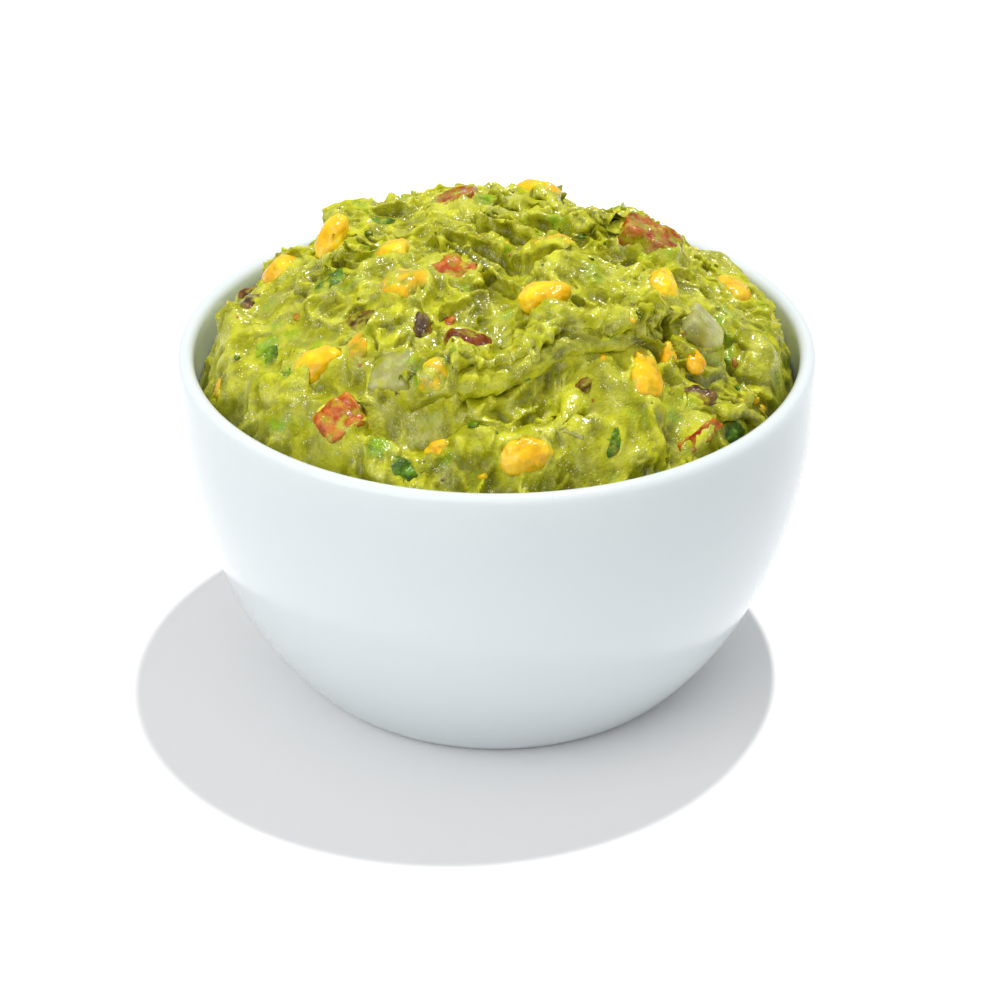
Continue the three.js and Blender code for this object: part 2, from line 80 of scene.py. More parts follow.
# Strokes left by the spoon: path, width, height and which have a steep side on their left.
STROKES = [
    ([(34, -30), (8, -51), (-17, -48)], 5.5, 6.4, True),
    ([(16, -52), (-4, -58), (-26, -54)], 3.6, -4, False),
    ([(20, -55), (-2, -60), (-28, -60)], 4, 3.2, False),
    ([(-28, -58), (-52, -42), (-62, -6)], 4.6, 4.2, False),
    ([(-57, -20), (-46, -36), (-29, -47)], 3.6, -3.6, False),
    ([(4, -13), (1, -30), (0, -40)], 6, -4.4, False),
    ([(13, -14), (9, -26), (14, -38)], 4, 3, False),
    ([(21, -47), (27, -51), (33, -51)], 7.5, 4, False),
    ([(14, -52), (18, -53), (23, -52)], 2.6, -5, False),
    ([(44, -42), (54, -36), (60, -30)], 4, 4, True),
    ([(56, -36), (63, -28), (66, -18)], 3.5, 3, False),
    ([(50, -20), (53, -28), (60, -26)], 3, -3.6, False),
    ([(55, -13), (60, -14), (62, -20)], 6, 4.4, False),
    ([(-36, 4), (-38, 16), (-38, 26)], 6.5, 4.6, True),
    ([(-50, 22), (-48, 32), (-44, 40)], 4.5, -2, False),
    ([(-61, -22), (-67, -4), (-60, 6)], 4.6, 4.6, False),
    ([(64, -18), (66, 0), (55, 14)], 5.2, 6, False),
    ([(40, 54), (48, 48), (55, 38)], 4, 2.4, False),
    ([(-42, 46), (-8, 62), (36, 50)], 4, 2.6, True),
    ([(-32, 50), (4, 63), (36, 52)], 4, -2.8, False),
    ([(21, 26), (24, 36), (23, 46)], 7.5, -6, False),
]

# Short torn ridges in a row over the crown.
TORN_RIDGES = 7
TORN_START = (-4, -12)
TORN_STEP = (4.6, 6.2)
TORN_LENGTH = 24
TORN_TURN = -32  # degrees
TORN_WIDTH = 2.8
TORN_HEIGHT = 3.4

# Lumps spread over the whole mound, from 3 to 5.6 mm in radius.
LUMPS = 150
SMALLEST_LUMP = 3
LUMP_SPREAD = 2.6
LUMP_HEIGHT = 2.6


# Sizes of what only the finished mound has

MOUND_CELLS = 300  # the mound is a grid of this many cells each way, about half a millimetre each
RIM_GAP = 0.3  # how near the finished mound comes to the wall
TORN_FADE = 4  # the torn surface dies out over this distance from the wall
LEAN = 0.5  # how far the crest of a steep stroke leans out, as a share of its height
LEAN_SHARE = 0.22  # width of that lean on the steep side, as a share of the stroke's width

# Rings below the grid, down to the bowl's floor: height, and share of the inner radius there.
FILLING_RINGS = [(62, 1), (38, 1), (14, 1), (5.4, 0.86)]

# Smooth smears, where the back of the spoon slid: path and width.
SMEARS = [
    ([(4, -14), (3, -25), (1, -37)], 3.8),
    ([(-42, -40), (-30, -52), (-6, -57)], 4.5),
    ([(22, -46), (27, -52), (22, -58)], 7),
    ([(-60, -12), (-54, -34), (-36, -54)], 6),
    ([(38, -46), (46, -44), (52, -38)], 4),
    ([(-52, -6), (-47, -22), (-38, -28)], 4),
    ([(10, 52), (-6, 56), (-24, 50)], 6),
    ([(44, 34), (50, 22), (56, 10)], 5),
    ([(57, -12), (60, -14), (62, -19)], 5),
]


# Numbers that repeat

LOW_32_BITS = 0xFFFFFFFF
LOW_24_BITS = 0xFFFFFF
SPREADERS = (374761393, 668265263, 1274126177)  # large odd numbers that part neighbouring cells widely
SEED_SPREADER = 974634777
CORNERS = [np.array([x, y, z]) for x in (0, 1) for y in (0, 1) for z in (0, 1)]
NEIGHBOURS = [np.array([x, y, z]) for x in (-1, 0, 1) for y in (-1, 0, 1) for z in (-1, 0, 1)]


def scatter(i):
    """The same number from 0 to 1 for each number i, as in the solid."""
    wave = math.sin(i * 12.9898 + 4.1414) * 43758.5453
    return wave - math.floor(wave)


def lattice_number(cell, seed):
    """A number from 0 to 1 for each whole-numbered cell of space."""
    mixed = sum(cell[..., k] * SPREADERS[k] for k in range(3)) + seed * SEED_SPREADER
    mixed &= LOW_32_BITS
    mixed = ((mixed ^ (mixed >> 13)) * SPREADERS[2]) & LOW_32_BITS
    return ((mixed ^ (mixed >> 16)) & LOW_24_BITS) / LOW_24_BITS


def waves(points, size, seed):
    """Smooth noise from about -1 to 1 with waves of this size."""
    scaled = points / size
    cell = np.floor(scaled).astype(np.int64)
    part = scaled - cell
    blend = part * part * part * (part * (part * 6 - 15) + 10)
    total = np.zeros(len(points))
    for corner in CORNERS:
        here = cell + corner
        turn = 2 * np.pi * lattice_number(here, seed)
        height = 2 * lattice_number(here, seed + 50) - 1
        flat = np.sqrt(1 - height**2)
        away = part - corner
        slope = away[:, 0] * flat * np.cos(turn) + away[:, 1] * flat * np.sin(turn) + away[:, 2] * height
        total += slope * np.prod(np.where(corner == 1, blend, 1 - blend), axis=1)
    return total * 1.6


def grains(points, size, seed):
    """Distance to the nearest of scattered points that lie about this far apart, as a share of that."""
    scaled = points / size
    cell = np.floor(scaled).astype(np.int64)
    nearest = np.full(len(points), 9.0)
    for step in NEIGHBOURS:
        here = cell + step
        spot = np.stack([lattice_number(here, seed + 7 * k) for k in range(3)], axis=1)
        nearest = np.minimum(nearest, np.linalg.norm(here + spot - scaled, axis=1))
    return nearest


def ease(low, high, value):
    """Rises smoothly from 0 at low to 1 at high."""
    t = np.clip((value - low) / (high - low), 0, 1)
    return t * t * (3 - 2 * t)


# The mound's main shape

def outer_radius(z):
    """Radius of the bowl's outside at this height."""
    depth = np.maximum(0, BELLY_HEIGHT - z) / BELLY_REACH
    return BOWL_RADIUS * (1 - depth**2) ** (1 / BELLY_SQUARENESS)


def inner_radius(z):
    """Radius of the bowl's inside at this height."""
    low = np.maximum(0, 1 - z / BELLY_HEIGHT)
    return outer_radius(z) - WALL - THICKER_FOOT * low**2


def along(path, t):
    """The points at these shares of the way along a path that bends towards its middle point."""
    start, bend, end = (np.array(p, dtype=float) for p in path)
    t = np.asarray(t)[:, None]
    return (1 - t) ** 2 * start + 2 * t * (1 - t) * bend + t**2 * end


def curve(path, steps=10):
    """The path as a line of short straight steps."""
    return along(path, np.linspace(0, 1, steps + 1))


def from_curve(line, x, y):
    """Distance from a line, which side of it each point is on, and the direction of the line there."""
    nearest = np.full(x.shape, 1e9)
    side = np.ones(x.shape)
    heading = np.zeros(x.shape + (2,))
    for start, end in zip(line[:-1], line[1:]):
        along_x, along_y = end - start
        from_x, from_y = x - start[0], y - start[1]
        length = math.hypot(along_x, along_y)
        t = np.clip((from_x * along_x + from_y * along_y) / length**2, 0, 1)
        gap = np.hypot(from_x - t * along_x, from_y - t * along_y)
        closer = gap < nearest
        nearest = np.where(closer, gap, nearest)
        side = np.where(closer, along_x * from_y - along_y * from_x, side)
        heading[closer] = (along_x / length, along_y / length)
    return nearest, side, heading


def torn_ridges():
    """The torn ridges in the same form as the strokes, each with its steep side on its left."""
    for i in range(TORN_RIDGES):
        x, y = (TORN_START[k] + TORN_STEP[k] * i for k in range(2))
        turn = math.radians(TORN_TURN + 22 * (scatter(i) - 0.5))
        length = TORN_LENGTH * (0.6 + 0.6 * scatter(i + 40))
        half_x, half_y = math.cos(turn) * length / 2, math.sin(turn) * length / 2
        bow = 3 * (scatter(i + 70) - 0.5)
        path = [(x + half_x, y + half_y), (x + bow, y - bow), (x - half_x, y - half_y)]
        yield path, TORN_WIDTH, TORN_HEIGHT * (0.7 + 0.6 * scatter(i + 90)), True


LINES = [(curve(path), width, height, steep) for path, width, height, steep in [*STROKES, *torn_ridges()]]


def edge_height(angle):
    """Height at which the guacamole meets the bowl, in this direction."""
    return EDGE_HEIGHT - EDGE_SWAY * np.cos(2 * angle) + EDGE_RIPPLE * np.sin(5 * angle + 0.14)


def mound(x, y):
    """Height of the mound over each point, with the spoon's strokes and the larger lumps."""
    edge = edge_height(np.arctan2(y, x))
    reach = inner_radius(edge) - FIT_GAP
    away = np.minimum(np.hypot(x, y), reach)
    relief = np.zeros(x.shape)
    for line, width, height, steep in LINES:
        gap, side, _ = from_curve(line, x, y)
        wide = np.where(side > 0, width * STEEP_SHARE, width) if steep else width
        relief += height * np.exp(-((gap / wide) ** 2))
    lump_reach = inner_radius(EDGE_HEIGHT) - 2
    for i in range(LUMPS):
        out = lump_reach * math.sqrt((i + 0.5) / LUMPS)
        angle = i * GOLDEN_ANGLE + 0.5 * scatter(i + 300)
        radius = SMALLEST_LUMP + LUMP_SPREAD * scatter(i + 500)
        gap = np.hypot(x - out * math.cos(angle), y - out * math.sin(angle)) / radius
        relief += LUMP_HEIGHT * (2 * scatter(i + 700) - 0.95) * np.exp(-np.minimum(gap, 3) ** 2)
    dome = (MOUND_TOP - edge) * (1 - (away / reach) ** MOUND_FULLNESS)
    return edge + dome + relief * np.clip((reach - away) / EDGE_FADE, 0, 1)


def overhang(x, y):
    """How far the crest of each steep stroke leans out over its foot."""
    shift = np.zeros((len(x), 3))
    for line, width, height, steep in LINES:
        if not steep:
            continue
        gap, side, heading = from_curve(line, x, y)
        wide = np.where(side > 0, width * LEAN_SHARE, width)
        amount = LEAN * height * np.exp(-((gap / wide) ** 2))
        shift[:, 0] -= heading[:, 1] * amount
        shift[:, 1] += heading[:, 0] * amount
    return shift


def smoothness(x, y):
    """1 where the guacamole is smeared smooth, 0 where it is left rough."""
    amount = np.zeros(x.shape)
    for path, width in SMEARS:
        gap, _, _ = from_curve(curve(path), x, y)
        amount = np.maximum(amount, np.exp(-((gap / width) ** 4)))
    return amount


# The mound's torn surface

STIR_SIZE = 9  # the finer relief is stirred about in swirls of this size
STIR_REACH = 1.8
ROUGH_PATCH = 20  # size of the patches that are rougher or calmer than the rest
RIDGE_SIZE = 8.5
RIDGE_HEIGHT = 2.4
SMALL_RIDGE_SIZE = 3.4
SMALL_RIDGE_HEIGHT = 1.2
RIDGE_SINK = 1.5  # brings the ridged surface back to the mound's own height
FLAKE_FACING = np.array([-0.34, -0.94, 0])  # the torn edges look towards the front
FLAKE_SPACING = 5.2
FLAKE_RISE = 0.86  # share of the spacing over which a flake rises to its torn edge
FLAKE_HEIGHT = 1.5
FLAKE_LEAN = 0.9  # how far a flake's edge leans out
CREST_LEAN = 0.45  # how far every crest leans to the front, as a share of its height
CLUMP_SIZE = 5.4
CLUMP_HEIGHT = 1.3
GRAIN_SIZE = 1.9
GRAIN_HEIGHT = 0.45
FINEST_SIZE = 1.1


def ridges(points, size, seed):
    """Narrow crests from 0 to 1 with hollows about this wide between them."""
    return np.clip(1 - 2.2 * np.abs(waves(points, size, seed)), 0, 1) ** 1.5


def torn_flakes(points):
    """Overlapping sheets that rise slowly and end in a torn edge, from 0 to 1."""
    run = points @ FLAKE_FACING / FLAKE_SPACING
    run += 1.5 * waves(points, 17, 102) + 0.28 * waves(points, 3.4, 103)
    part = run - np.floor(run)
    height = np.minimum(part / FLAKE_RISE, (1 - part) / (1 - FLAKE_RISE))
    return height * ease(-0.15, 0.35, waves(points, 13, 104))


def roughness_of(points, smear):
    """Height of the torn, grainy surface over the strokes, and how far its crests lean."""
    stir = np.stack([waves(points, STIR_SIZE, 11 + k) for k in range(3)], axis=1)
    stirred = points + STIR_REACH * stir
    rough = (1 - 0.8 * smear) * np.clip(0.85 + 0.6 * waves(points, ROUGH_PATCH, 3), 0.25, 1.4)
    clump = grains(stirred, CLUMP_SIZE, 41)
    grain = grains(points + 0.6 * stir, GRAIN_SIZE, 51)
    flake = torn_flakes(stirred)
    broad = RIDGE_HEIGHT * ridges(stirred, RIDGE_SIZE, 21)
    small = SMALL_RIDGE_HEIGHT * ridges(stirred, SMALL_RIDGE_SIZE, 31)
    height = rough * (broad + small - RIDGE_SINK)
    height += rough * FLAKE_HEIGHT * flake
    height += rough * CLUMP_HEIGHT * (0.5 - np.minimum(clump, 1) ** 2)
    height += (0.25 + 0.75 * rough) * GRAIN_HEIGHT * (0.45 - np.minimum(grain, 1) ** 2)
    height += (0.06 + 0.16 * rough) * waves(points, FINEST_SIZE, 61)
    lean = FLAKE_FACING * (rough * FLAKE_LEAN * flake)[:, None]
    lean[:, 1] -= CREST_LEAN * np.maximum(height, 0)
    return height, lean


# How the pieces are bedded

RAY_START = 14  # a ray starts this far above the mound, over the tallest piece
RAY_LENGTH = 20
NO_PIECE = -99.0
DEEPEST_PIECE = -4  # what lies deeper than this under the mound doesn't raise it
BANK_PASSES = 12  # how often a piece's outline is blurred, which sets the width of its bank
COVER_DEPTH = 0.35  # guacamole smeared over a piece
BARE_DEPTH = 0.8  # how far the mound stays under a bare part of a piece


def blurred(field, passes):
    """The numbers on the mound's grid, each averaged with its neighbours this many times."""
    square = field.reshape(MOUND_CELLS + 1, MOUND_CELLS + 1)
    for _ in range(passes):
        for axis in (0, 1):
            before = np.roll(square, 1, axis)
            after = np.roll(square, -1, axis)
            square = (before + 2 * square + after) / 4
    return square.ravel()


def pieces_above(points, normals, pieces):
    """How high a piece stands along each normal, and how much guacamole covers that piece."""
    height = np.full(len(points), NO_PIECE)
    coating = np.zeros(len(points))
    for middle, reach, tree, coat in pieces:
        near = np.nonzero(np.linalg.norm(points - middle, axis=1) < reach + 2)[0]
        for i in near:
            normal = Vector(normals[i])
            start = Vector(points[i]) + RAY_START * normal
            spot, _, _, distance = tree.ray_cast(start, -normal, RAY_LENGTH)
            if spot is not None and RAY_START - distance > height[i]:
                height[i] = RAY_START - distance
                coating[i] = coat
    return height, coating


def bedded(height, points, normals, pieces):
    """Banks the guacamole up round each piece, smears it over the rim, and clears it from the middle."""
    piece_height, coating = pieces_above(points, normals, pieces)
    hit = (piece_height > DEEPEST_PIECE).astype(float)
    inside = blurred(hit, BANK_PASSES)
    some = np.maximum(inside, 1e-6)
    tall = blurred(hit * piece_height, BANK_PASSES) / some
    stuck = blurred(hit * coating, BANK_PASSES) / some
    bank = (tall + 0.1) * (0.6 + 0.8 * np.minimum(stuck, 0.4) + 0.45 * waves(points, 4.5, 71))
    banked = np.maximum(height, height + (bank - height) * ease(0.02, 0.42, inside))
    smear = coating + 0.22 * waves(points, 3.2, 72) + 0.1 * waves(points, 1.3, 73)
    over = ease(-0.05, 0.05, smear - (inside - 0.5))
    cover = piece_height + COVER_DEPTH + COVER_DEPTH * (0.5 - np.minimum(grains(points, 1.6, 74), 1))
    clear = np.minimum(height, piece_height - BARE_DEPTH)
    settled = np.where(hit > 0, clear + (cover - clear) * over, banked)
    near = ease(0.01, 0.1, inside)
    return settled + (blurred(settled, 1) - settled) * near


# Objects and meshes

def in_scene(name, data):
    """An object in the scene for a mesh, a light or a camera."""
    made = bpy.data.objects.new(name, data)
    bpy.context.scene.collection.objects.link(made)
    return made


def piece(name, mesh, kind, *nodes):
    """Shows a mesh in its kind's material, and lets it ride on the body in the nodes' place."""
    made = in_scene(name, mesh)
    mesh.materials.clear()
    mesh.materials.append(MATERIALS[kind])
    mesh.shade_smooth()
    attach(made, "root")
    if nodes:
        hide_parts(*nodes)


def points_of(mesh):
    """The mesh's corners in millimetres."""
    flat = np.empty(len(mesh.vertices) * 3, dtype=np.float32)
    mesh.vertices.foreach_get("co", flat)
    return flat.reshape(-1, 3).astype(float) / MM


def move_points(mesh, points):
    """Puts the mesh's corners at these places in millimetres."""
    mesh.vertices.foreach_set("co", (points * MM).astype(np.float32).ravel())
    mesh.update()


def normals_of(mesh):
    """The direction in which the mesh faces at each corner."""
    flat = np.empty(len(mesh.vertices) * 3, dtype=np.float32)
    mesh.vertex_normals.foreach_get("vector", flat)
    return flat.reshape(-1, 3).astype(float)


def set_number(mesh, name, values):
    """Stores a number for each corner, for the material to read."""
    layer = mesh.attributes.new(name, "FLOAT", "POINT")
    layer.data.foreach_set("value", values.astype(np.float32))


def new_mesh(name, form):
    """The finished form as a mesh."""
    mesh = bpy.data.meshes.new(name)
    form.to_mesh(mesh)
    form.free()
    return mesh


def ray_tree(points, mesh):
    """The mesh, with its corners at these places, in a form that rays can be cast at."""
    return BVHTree.FromPolygons([Vector(p) for p in points], [tuple(f.vertices) for f in mesh.polygons])


def bowl_mesh():
    """The bowl as one turned profile, from under its floor round the foot and over the lip to the inside."""
    lip = WALL / 2
    ring = FOOT_RADIUS - FOOT_WIDTH
    foot = [(0, FOOT_RECESS), (ring - 1.6, FOOT_RECESS), (ring - 0.6, 1.2), (ring, 0.3), (ring + 0.5, 0)]
    foot += [(FOOT_RADIUS - 0.6, 0), (FOOT_RADIUS + 0.2, 0.25), (FOOT_RADIUS + 0.9, 0.9)]
    outside = [(outer_radius(z), z) for z in OUTSIDE_HEIGHTS]
    turns = [math.pi * i / 8 for i in range(9)]
    top = [(BOWL_RADIUS - lip + lip * math.cos(t), BOWL_HEIGHT - lip + lip * math.sin(t)) for t in turns]
    inside = [(inner_radius(z), z) for z in INSIDE_HEIGHTS]
    low = inner_radius(INSIDE_HEIGHTS[-1])
    inside += [(low - 3, 5.6), (low - 7, FLOOR_HEIGHT), (0, FLOOR_HEIGHT)]
    form = bmesh.new()
    corners = [form.verts.new((radius * MM, 0, z * MM)) for radius, z in foot + outside + top + inside]
    edges = [form.edges.new(pair) for pair in zip(corners[:-1], corners[1:])]
    turn = {"cent": (0, 0, 0), "axis": (0, 0, 1), "angle": 2 * math.pi}
    bmesh.ops.spin(form, geom=corners + edges, steps=BOWL_STEPS, use_merge=True, **turn)
    bmesh.ops.remove_doubles(form, verts=form.verts, dist=SAME_PLACE)
    bmesh.ops.recalc_face_normals(form, faces=form.faces)
    return new_mesh("bowl", form)


def mound_mesh():
    """A square grid for the top of the mound, with rings hung from its edge for the filling of the bowl."""
    form = bmesh.new()
    bmesh.ops.create_grid(form, x_segments=MOUND_CELLS, y_segments=MOUND_CELLS, size=1)
    rim = [e for e in form.edges if e.is_boundary]
    for ring in range(1, len(FILLING_RINGS) + 1):
        grown = bmesh.ops.extrude_edge_only(form, edges=rim)["geom"]
        corners = [g for g in grown if isinstance(g, bmesh.types.BMVert)]
        rim = [g for g in grown if isinstance(g, bmesh.types.BMEdge)]
        step = (ring + 1) / ring
        bmesh.ops.scale(form, vec=(step, step, 1), verts=corners)
    bmesh.ops.edgeloop_fill(form, edges=rim)
    bmesh.ops.recalc_face_normals(form, faces=form.faces)
    return new_mesh("guacamole", form)


def round_grid(grid):
    """Spreads the square grid over the unit disc, and says which hanging ring each point is on."""
    x, y = grid[:, 0] * MM, grid[:, 1] * MM
    square = np.maximum(np.abs(x), np.abs(y))
    ring = np.maximum(0, np.round(square - 1)).astype(int)
    shrink = np.where(square > 1, square, 1)
    x, y = x / shrink, y / shrink
    wide = np.abs(x) > np.abs(y)
    long = np.where(wide, x, y)
    short = np.where(wide, y, x)
    share = np.divide(short, long, out=np.zeros_like(short), where=np.abs(long) > 1e-9) * math.pi / 4
    angle = np.where(wide, share, math.pi / 2 - share)
    return long * np.cos(angle), long * np.sin(angle), ring


def surface_frame(x, y):
    """Points on the mound over x and y, and the mound's normals there."""
    step = 0.6
    z = mound(x, y)
    slope_x = (mound(x + step, y) - z) / step
    slope_y = (mound(x, y + step) - z) / step
    normals = np.stack([-slope_x, -slope_y, np.ones_like(z)], axis=1)
    normals /= np.linalg.norm(normals, axis=1, keepdims=True)
    return np.stack([x, y, z], axis=1), normals


def in_rows(grid, ring):
    """The points of the square grid in rows from corner to corner."""
    top = np.nonzero(ring == 0)[0]
    column = np.round((grid[top, 0] * MM + 1) / 2 * MOUND_CELLS)
    row = np.round((grid[top, 1] * MM + 1) / 2 * MOUND_CELLS)
    return top[np.argsort(row * (MOUND_CELLS + 1) + column)]


def guacamole_mesh(pieces):
    """The mound with its torn surface, bedded round the pieces, and the filling under it."""
    mesh = mound_mesh()
    grid = points_of(mesh)
    disc_x, disc_y, ring = round_grid(grid)
    angle = np.arctan2(disc_y, disc_x)
    reach = inner_radius(edge_height(angle)) - RIM_GAP
    top = in_rows(grid, ring)
    x, y = (disc_x * reach)[top], (disc_y * reach)[top]
    points, normals = surface_frame(x, y)
    fade = ease(0, TORN_FADE, reach[top] - np.hypot(x, y))
    points += overhang(x, y) * fade[:, None]
    height, lean = roughness_of(points, smoothness(x, y))
    height *= fade
    settled = bedded(height, points, normals, pieces)
    free = 1 - ease(0.3, 1.2, np.abs(settled - height))
    placed = np.zeros((len(grid), 3))
    placed[top] = points + normals * settled[:, None] + lean * fade[:, None] * free[:, None]
    for k, (z, share) in enumerate(FILLING_RINGS, start=1):
        on = ring == k
        radius = (inner_radius(z) - FIT_GAP) * share
        around = [radius * np.cos(angle[on]), radius * np.sin(angle[on]), np.full(on.sum(), z)]
        placed[on] = np.stack(around, axis=1)
    move_points(mesh, placed)
    # The relief's height, from which the material paints shade in the hollows and a highlight on the crests.
    crest = np.zeros(len(grid))
    crest[top] = settled
    set_number(mesh, "crest", crest)
    return mesh


FLAT_ANGLE = 0.02  # radians; an edge that bends less than this lies inside a flat face


def refined(node_name, levels, rounding):
    """A merged copy of a node's mesh, with its corners drawn in and made rounder by subdivision."""
    form = bmesh.new()
    form.from_mesh(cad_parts[node_name].data)
    bmesh.ops.remove_doubles(form, verts=form.verts, dist=SAME_PLACE)
    flat = [e for e in form.edges if len(e.link_faces) == 2 and e.calc_face_angle(1) < FLAT_ANGLE]
    bmesh.ops.dissolve_edges(form, edges=flat, use_verts=False)
    every_way = {"use_axis_x": True, "use_axis_y": True, "use_axis_z": True}
    bmesh.ops.smooth_vert(form, verts=form.verts, factor=rounding, **every_way)
    mesh = new_mesh(node_name + "_coarse", form)
    carrier = in_scene(node_name + "_coarse", mesh)
    rounder = carrier.modifiers.new("rounder", "SUBSURF")
    rounder.levels = levels
    rounder.render_levels = levels
    shown = carrier.evaluated_get(bpy.context.evaluated_depsgraph_get())
    made = bpy.data.meshes.new_from_object(shown)
    made.name = node_name
    bpy.data.objects.remove(carrier)
    bpy.data.meshes.remove(mesh)
    return made


# Materials

def srgb(code):
    """The linear colour of an sRGB hex code."""
    parts = [int(code[i : i + 2], 16) / 255 for i in (1, 3, 5)]
    return [p / 12.92 if p <= 0.04045 else ((p + 0.055) / 1.055) ** 2.4 for p in parts] + [1.0]


def add(tree, kind, settings=None, links=None):
    """Adds a node. settings sets its properties, and links sets its sockets to values or to other sockets."""
    made = tree.nodes.new(kind)
    for name, value in (settings or {}).items():
        setattr(made, name, value)
    for name, value in (links or {}).items():
        socket = made.inputs[name]
        if isinstance(value, bpy.types.NodeSocket):
            tree.links.new(value, socket)
        else:
            socket.default_value = value
    return made


def begin(name):
    """An empty material with its shader, its tree and its place in the object's own millimetres."""
    material = bpy.data.materials.new(name)
    material.use_nodes = True
    tree = material.node_tree
    shader = tree.nodes["Principled BSDF"]
    place = add(tree, "ShaderNodeTexCoord").outputs["Object"]
    scaled = add(tree, "ShaderNodeMapping", links={"Vector": place, "Scale": (1 / MM, 1 / MM, 1 / MM)})
    return material, tree, shader, scaled.outputs["Vector"]


def set_shader(shader, values):
    """Sets a shader's own sockets, by their names."""
    for name, value in values.items():
        shader.inputs[name].default_value = value


# The sockets of a Mix node that blends colours share their names with others, so they go by their places.
COLOURS = {"data_type": "RGBA"}
AMOUNT, FIRST, SECOND, MIXED = 0, 6, 7, 2
SOFTLY = {"interpolation_type": "SMOOTHSTEP"}


def blotches(tree, place, size, low, high, detail=3):
    """A mask from 0 to 1 of soft noise with blotches of this size in mm, rising between low and high."""
    noise = add(tree, "ShaderNodeTexNoise", links={"Vector": place, "Scale": 1 / size, "Detail": detail})
    limits = {"Value": noise.outputs["Fac"], "From Min": low, "From Max": high}
    return add(tree, "ShaderNodeMapRange", SOFTLY, limits).outputs["Result"]


GLINT_WIDTH = 0.45  # mm, about two pixels of a 1000 pixel picture, so that single glints show
WET_PATCH = 5  # mm


def wet_film(tree, shader, place, pattern, depth, tilt, most=0.6):
    """Raises the flesh by a pattern, this deep in mm, and tilts its film in flakes that catch the light."""
    lift = {"Height": pattern.outputs["Fac"], "Distance": depth * MM}
    relief = add(tree, "ShaderNodeBump", links=lift).outputs["Normal"]
    tree.links.new(relief, shader.inputs["Normal"])
    flakes = add(tree, "ShaderNodeTexVoronoi", links={"Vector": place, "Scale": 1 / GLINT_WIDTH})
    ends = {0: flakes.outputs["Color"], 1: (0.5, 0.5, 0.5)}
    spread = add(tree, "ShaderNodeVectorMath", {"operation": "SUBTRACT"}, ends)
    wet = blotches(tree, place, WET_PATCH, 0.4, 0.57)
    patches = add(tree, "ShaderNodeMath", {"operation": "MULTIPLY"}, {0: wet, 1: tilt})
    film = add(tree, "ShaderNodeMapRange", links={"Value": wet, "To Min": 0.05, "To Max": most})
    tree.links.new(film.outputs["Result"], shader.inputs["Coat Weight"])
    scaling = {0: spread.outputs[0], "Scale": patches.outputs[0]}
    tilted = add(tree, "ShaderNodeVectorMath", {"operation": "SCALE"}, scaling)
    facing = add(tree, "ShaderNodeNewGeometry").outputs["Normal"]
    summed = add(tree, "ShaderNodeVectorMath", {"operation": "ADD"}, {0: tilted.outputs[0], 1: facing})
    unit = add(tree, "ShaderNodeVectorMath", {"operation": "NORMALIZE"}, {0: summed.outputs[0]})
    tree.links.new(unit.outputs[0], shader.inputs["Coat Normal"])
    set_shader(shader, {"Coat IOR": 1.6, "Coat Roughness": 0.21})


# Painted light: by the height of the relief, the hollows get a darker painted shade and the crests a paler
# painted highlight.
GUACAMOLE_PAINTED_HIGHLIGHT = "#C8C832"
GUACAMOLE_MEAN = "#A8AA12"
GUACAMOLE_PAINTED_SHADE = "#6E6E06"
GUACAMOLE_GREEN = "#86AA1C"
PAINTED_SHADE_BELOW = -1.6  # mm; hollows of this depth have the darkest painted shade
PAINTED_HIGHLIGHT_ABOVE = 1.4  # mm; crests of this height have the mean colour, with the painted highlight in patches
# Painted glints: pale specks painted into the colour where the wet surface would sparkle.
PAINTED_GLINT = "#F8F6DC"
PAINTED_GLINT_SPACING = 0.6  # mm; the painted glints themselves are about 0.25 mm across


def painted_glints(tree, place):
    """A mask of painted glints: tiny round pale specks in drifts, painted into the colour to stand in for
    sparkles of light.
    """
    cells = add(tree, "ShaderNodeTexVoronoi", links={"Vector": place, "Scale": 1 / PAINTED_GLINT_SPACING})
    shape = {"From Min": 0.18, "From Max": 0.28, "To Min": 0.9, "To Max": 0}
    glint_dot = add(tree, "ShaderNodeMapRange", links={"Value": cells.outputs["Distance"], **shape})
    drift = blotches(tree, place, 3, 0.53, 0.63)
    mask = add(tree, "ShaderNodeMath", {"operation": "MULTIPLY"}, {0: glint_dot.outputs["Result"], 1: drift})
    return mask.outputs[0]


def guacamole_colour(tree, place):
    """Yellow-green pulp with greener patches of outer flesh; painted shade darkens the hollows to olive, a
    painted highlight pales the crests in patches, and painted glints are dotted over it.
    """
    crest = add(tree, "ShaderNodeAttribute", {"attribute_name": "crest"}).outputs["Fac"]
    limits = {"Value": crest, "From Min": PAINTED_SHADE_BELOW, "From Max": PAINTED_HIGHLIGHT_ABOVE}
    height = add(tree, "ShaderNodeMapRange", SOFTLY, limits).outputs["Result"]
    # Painted shade: the hollows are darkened towards the deep colour.
    ends = {AMOUNT: height, FIRST: srgb(GUACAMOLE_PAINTED_SHADE), SECOND: srgb(GUACAMOLE_MEAN)}
    low = add(tree, "ShaderNodeMix", COLOURS, ends).outputs[MIXED]
    # Painted highlight: the crests are paled towards the light colour, in patches.
    patchy = {0: height, 1: blotches(tree, place, 4, 0.38, 0.62)}
    pale = add(tree, "ShaderNodeMath", {"operation": "MULTIPLY"}, patchy).outputs[0]
    ends = {AMOUNT: pale, FIRST: low, SECOND: srgb(GUACAMOLE_PAINTED_HIGHLIGHT)}
    base = add(tree, "ShaderNodeMix", COLOURS, ends).outputs[MIXED]
    greener = blotches(tree, place, 9, 0.58, 0.76)
    ends = {AMOUNT: greener, FIRST: base, SECOND: srgb(GUACAMOLE_GREEN)}
    mottled = add(tree, "ShaderNodeMix", COLOURS, ends).outputs[MIXED]
    # Painted glints dotted over all.
    ends = {AMOUNT: painted_glints(tree, place), FIRST: mottled, SECOND: srgb(PAINTED_GLINT)}
    return add(tree, "ShaderNodeMix", COLOURS, ends).outputs[MIXED]


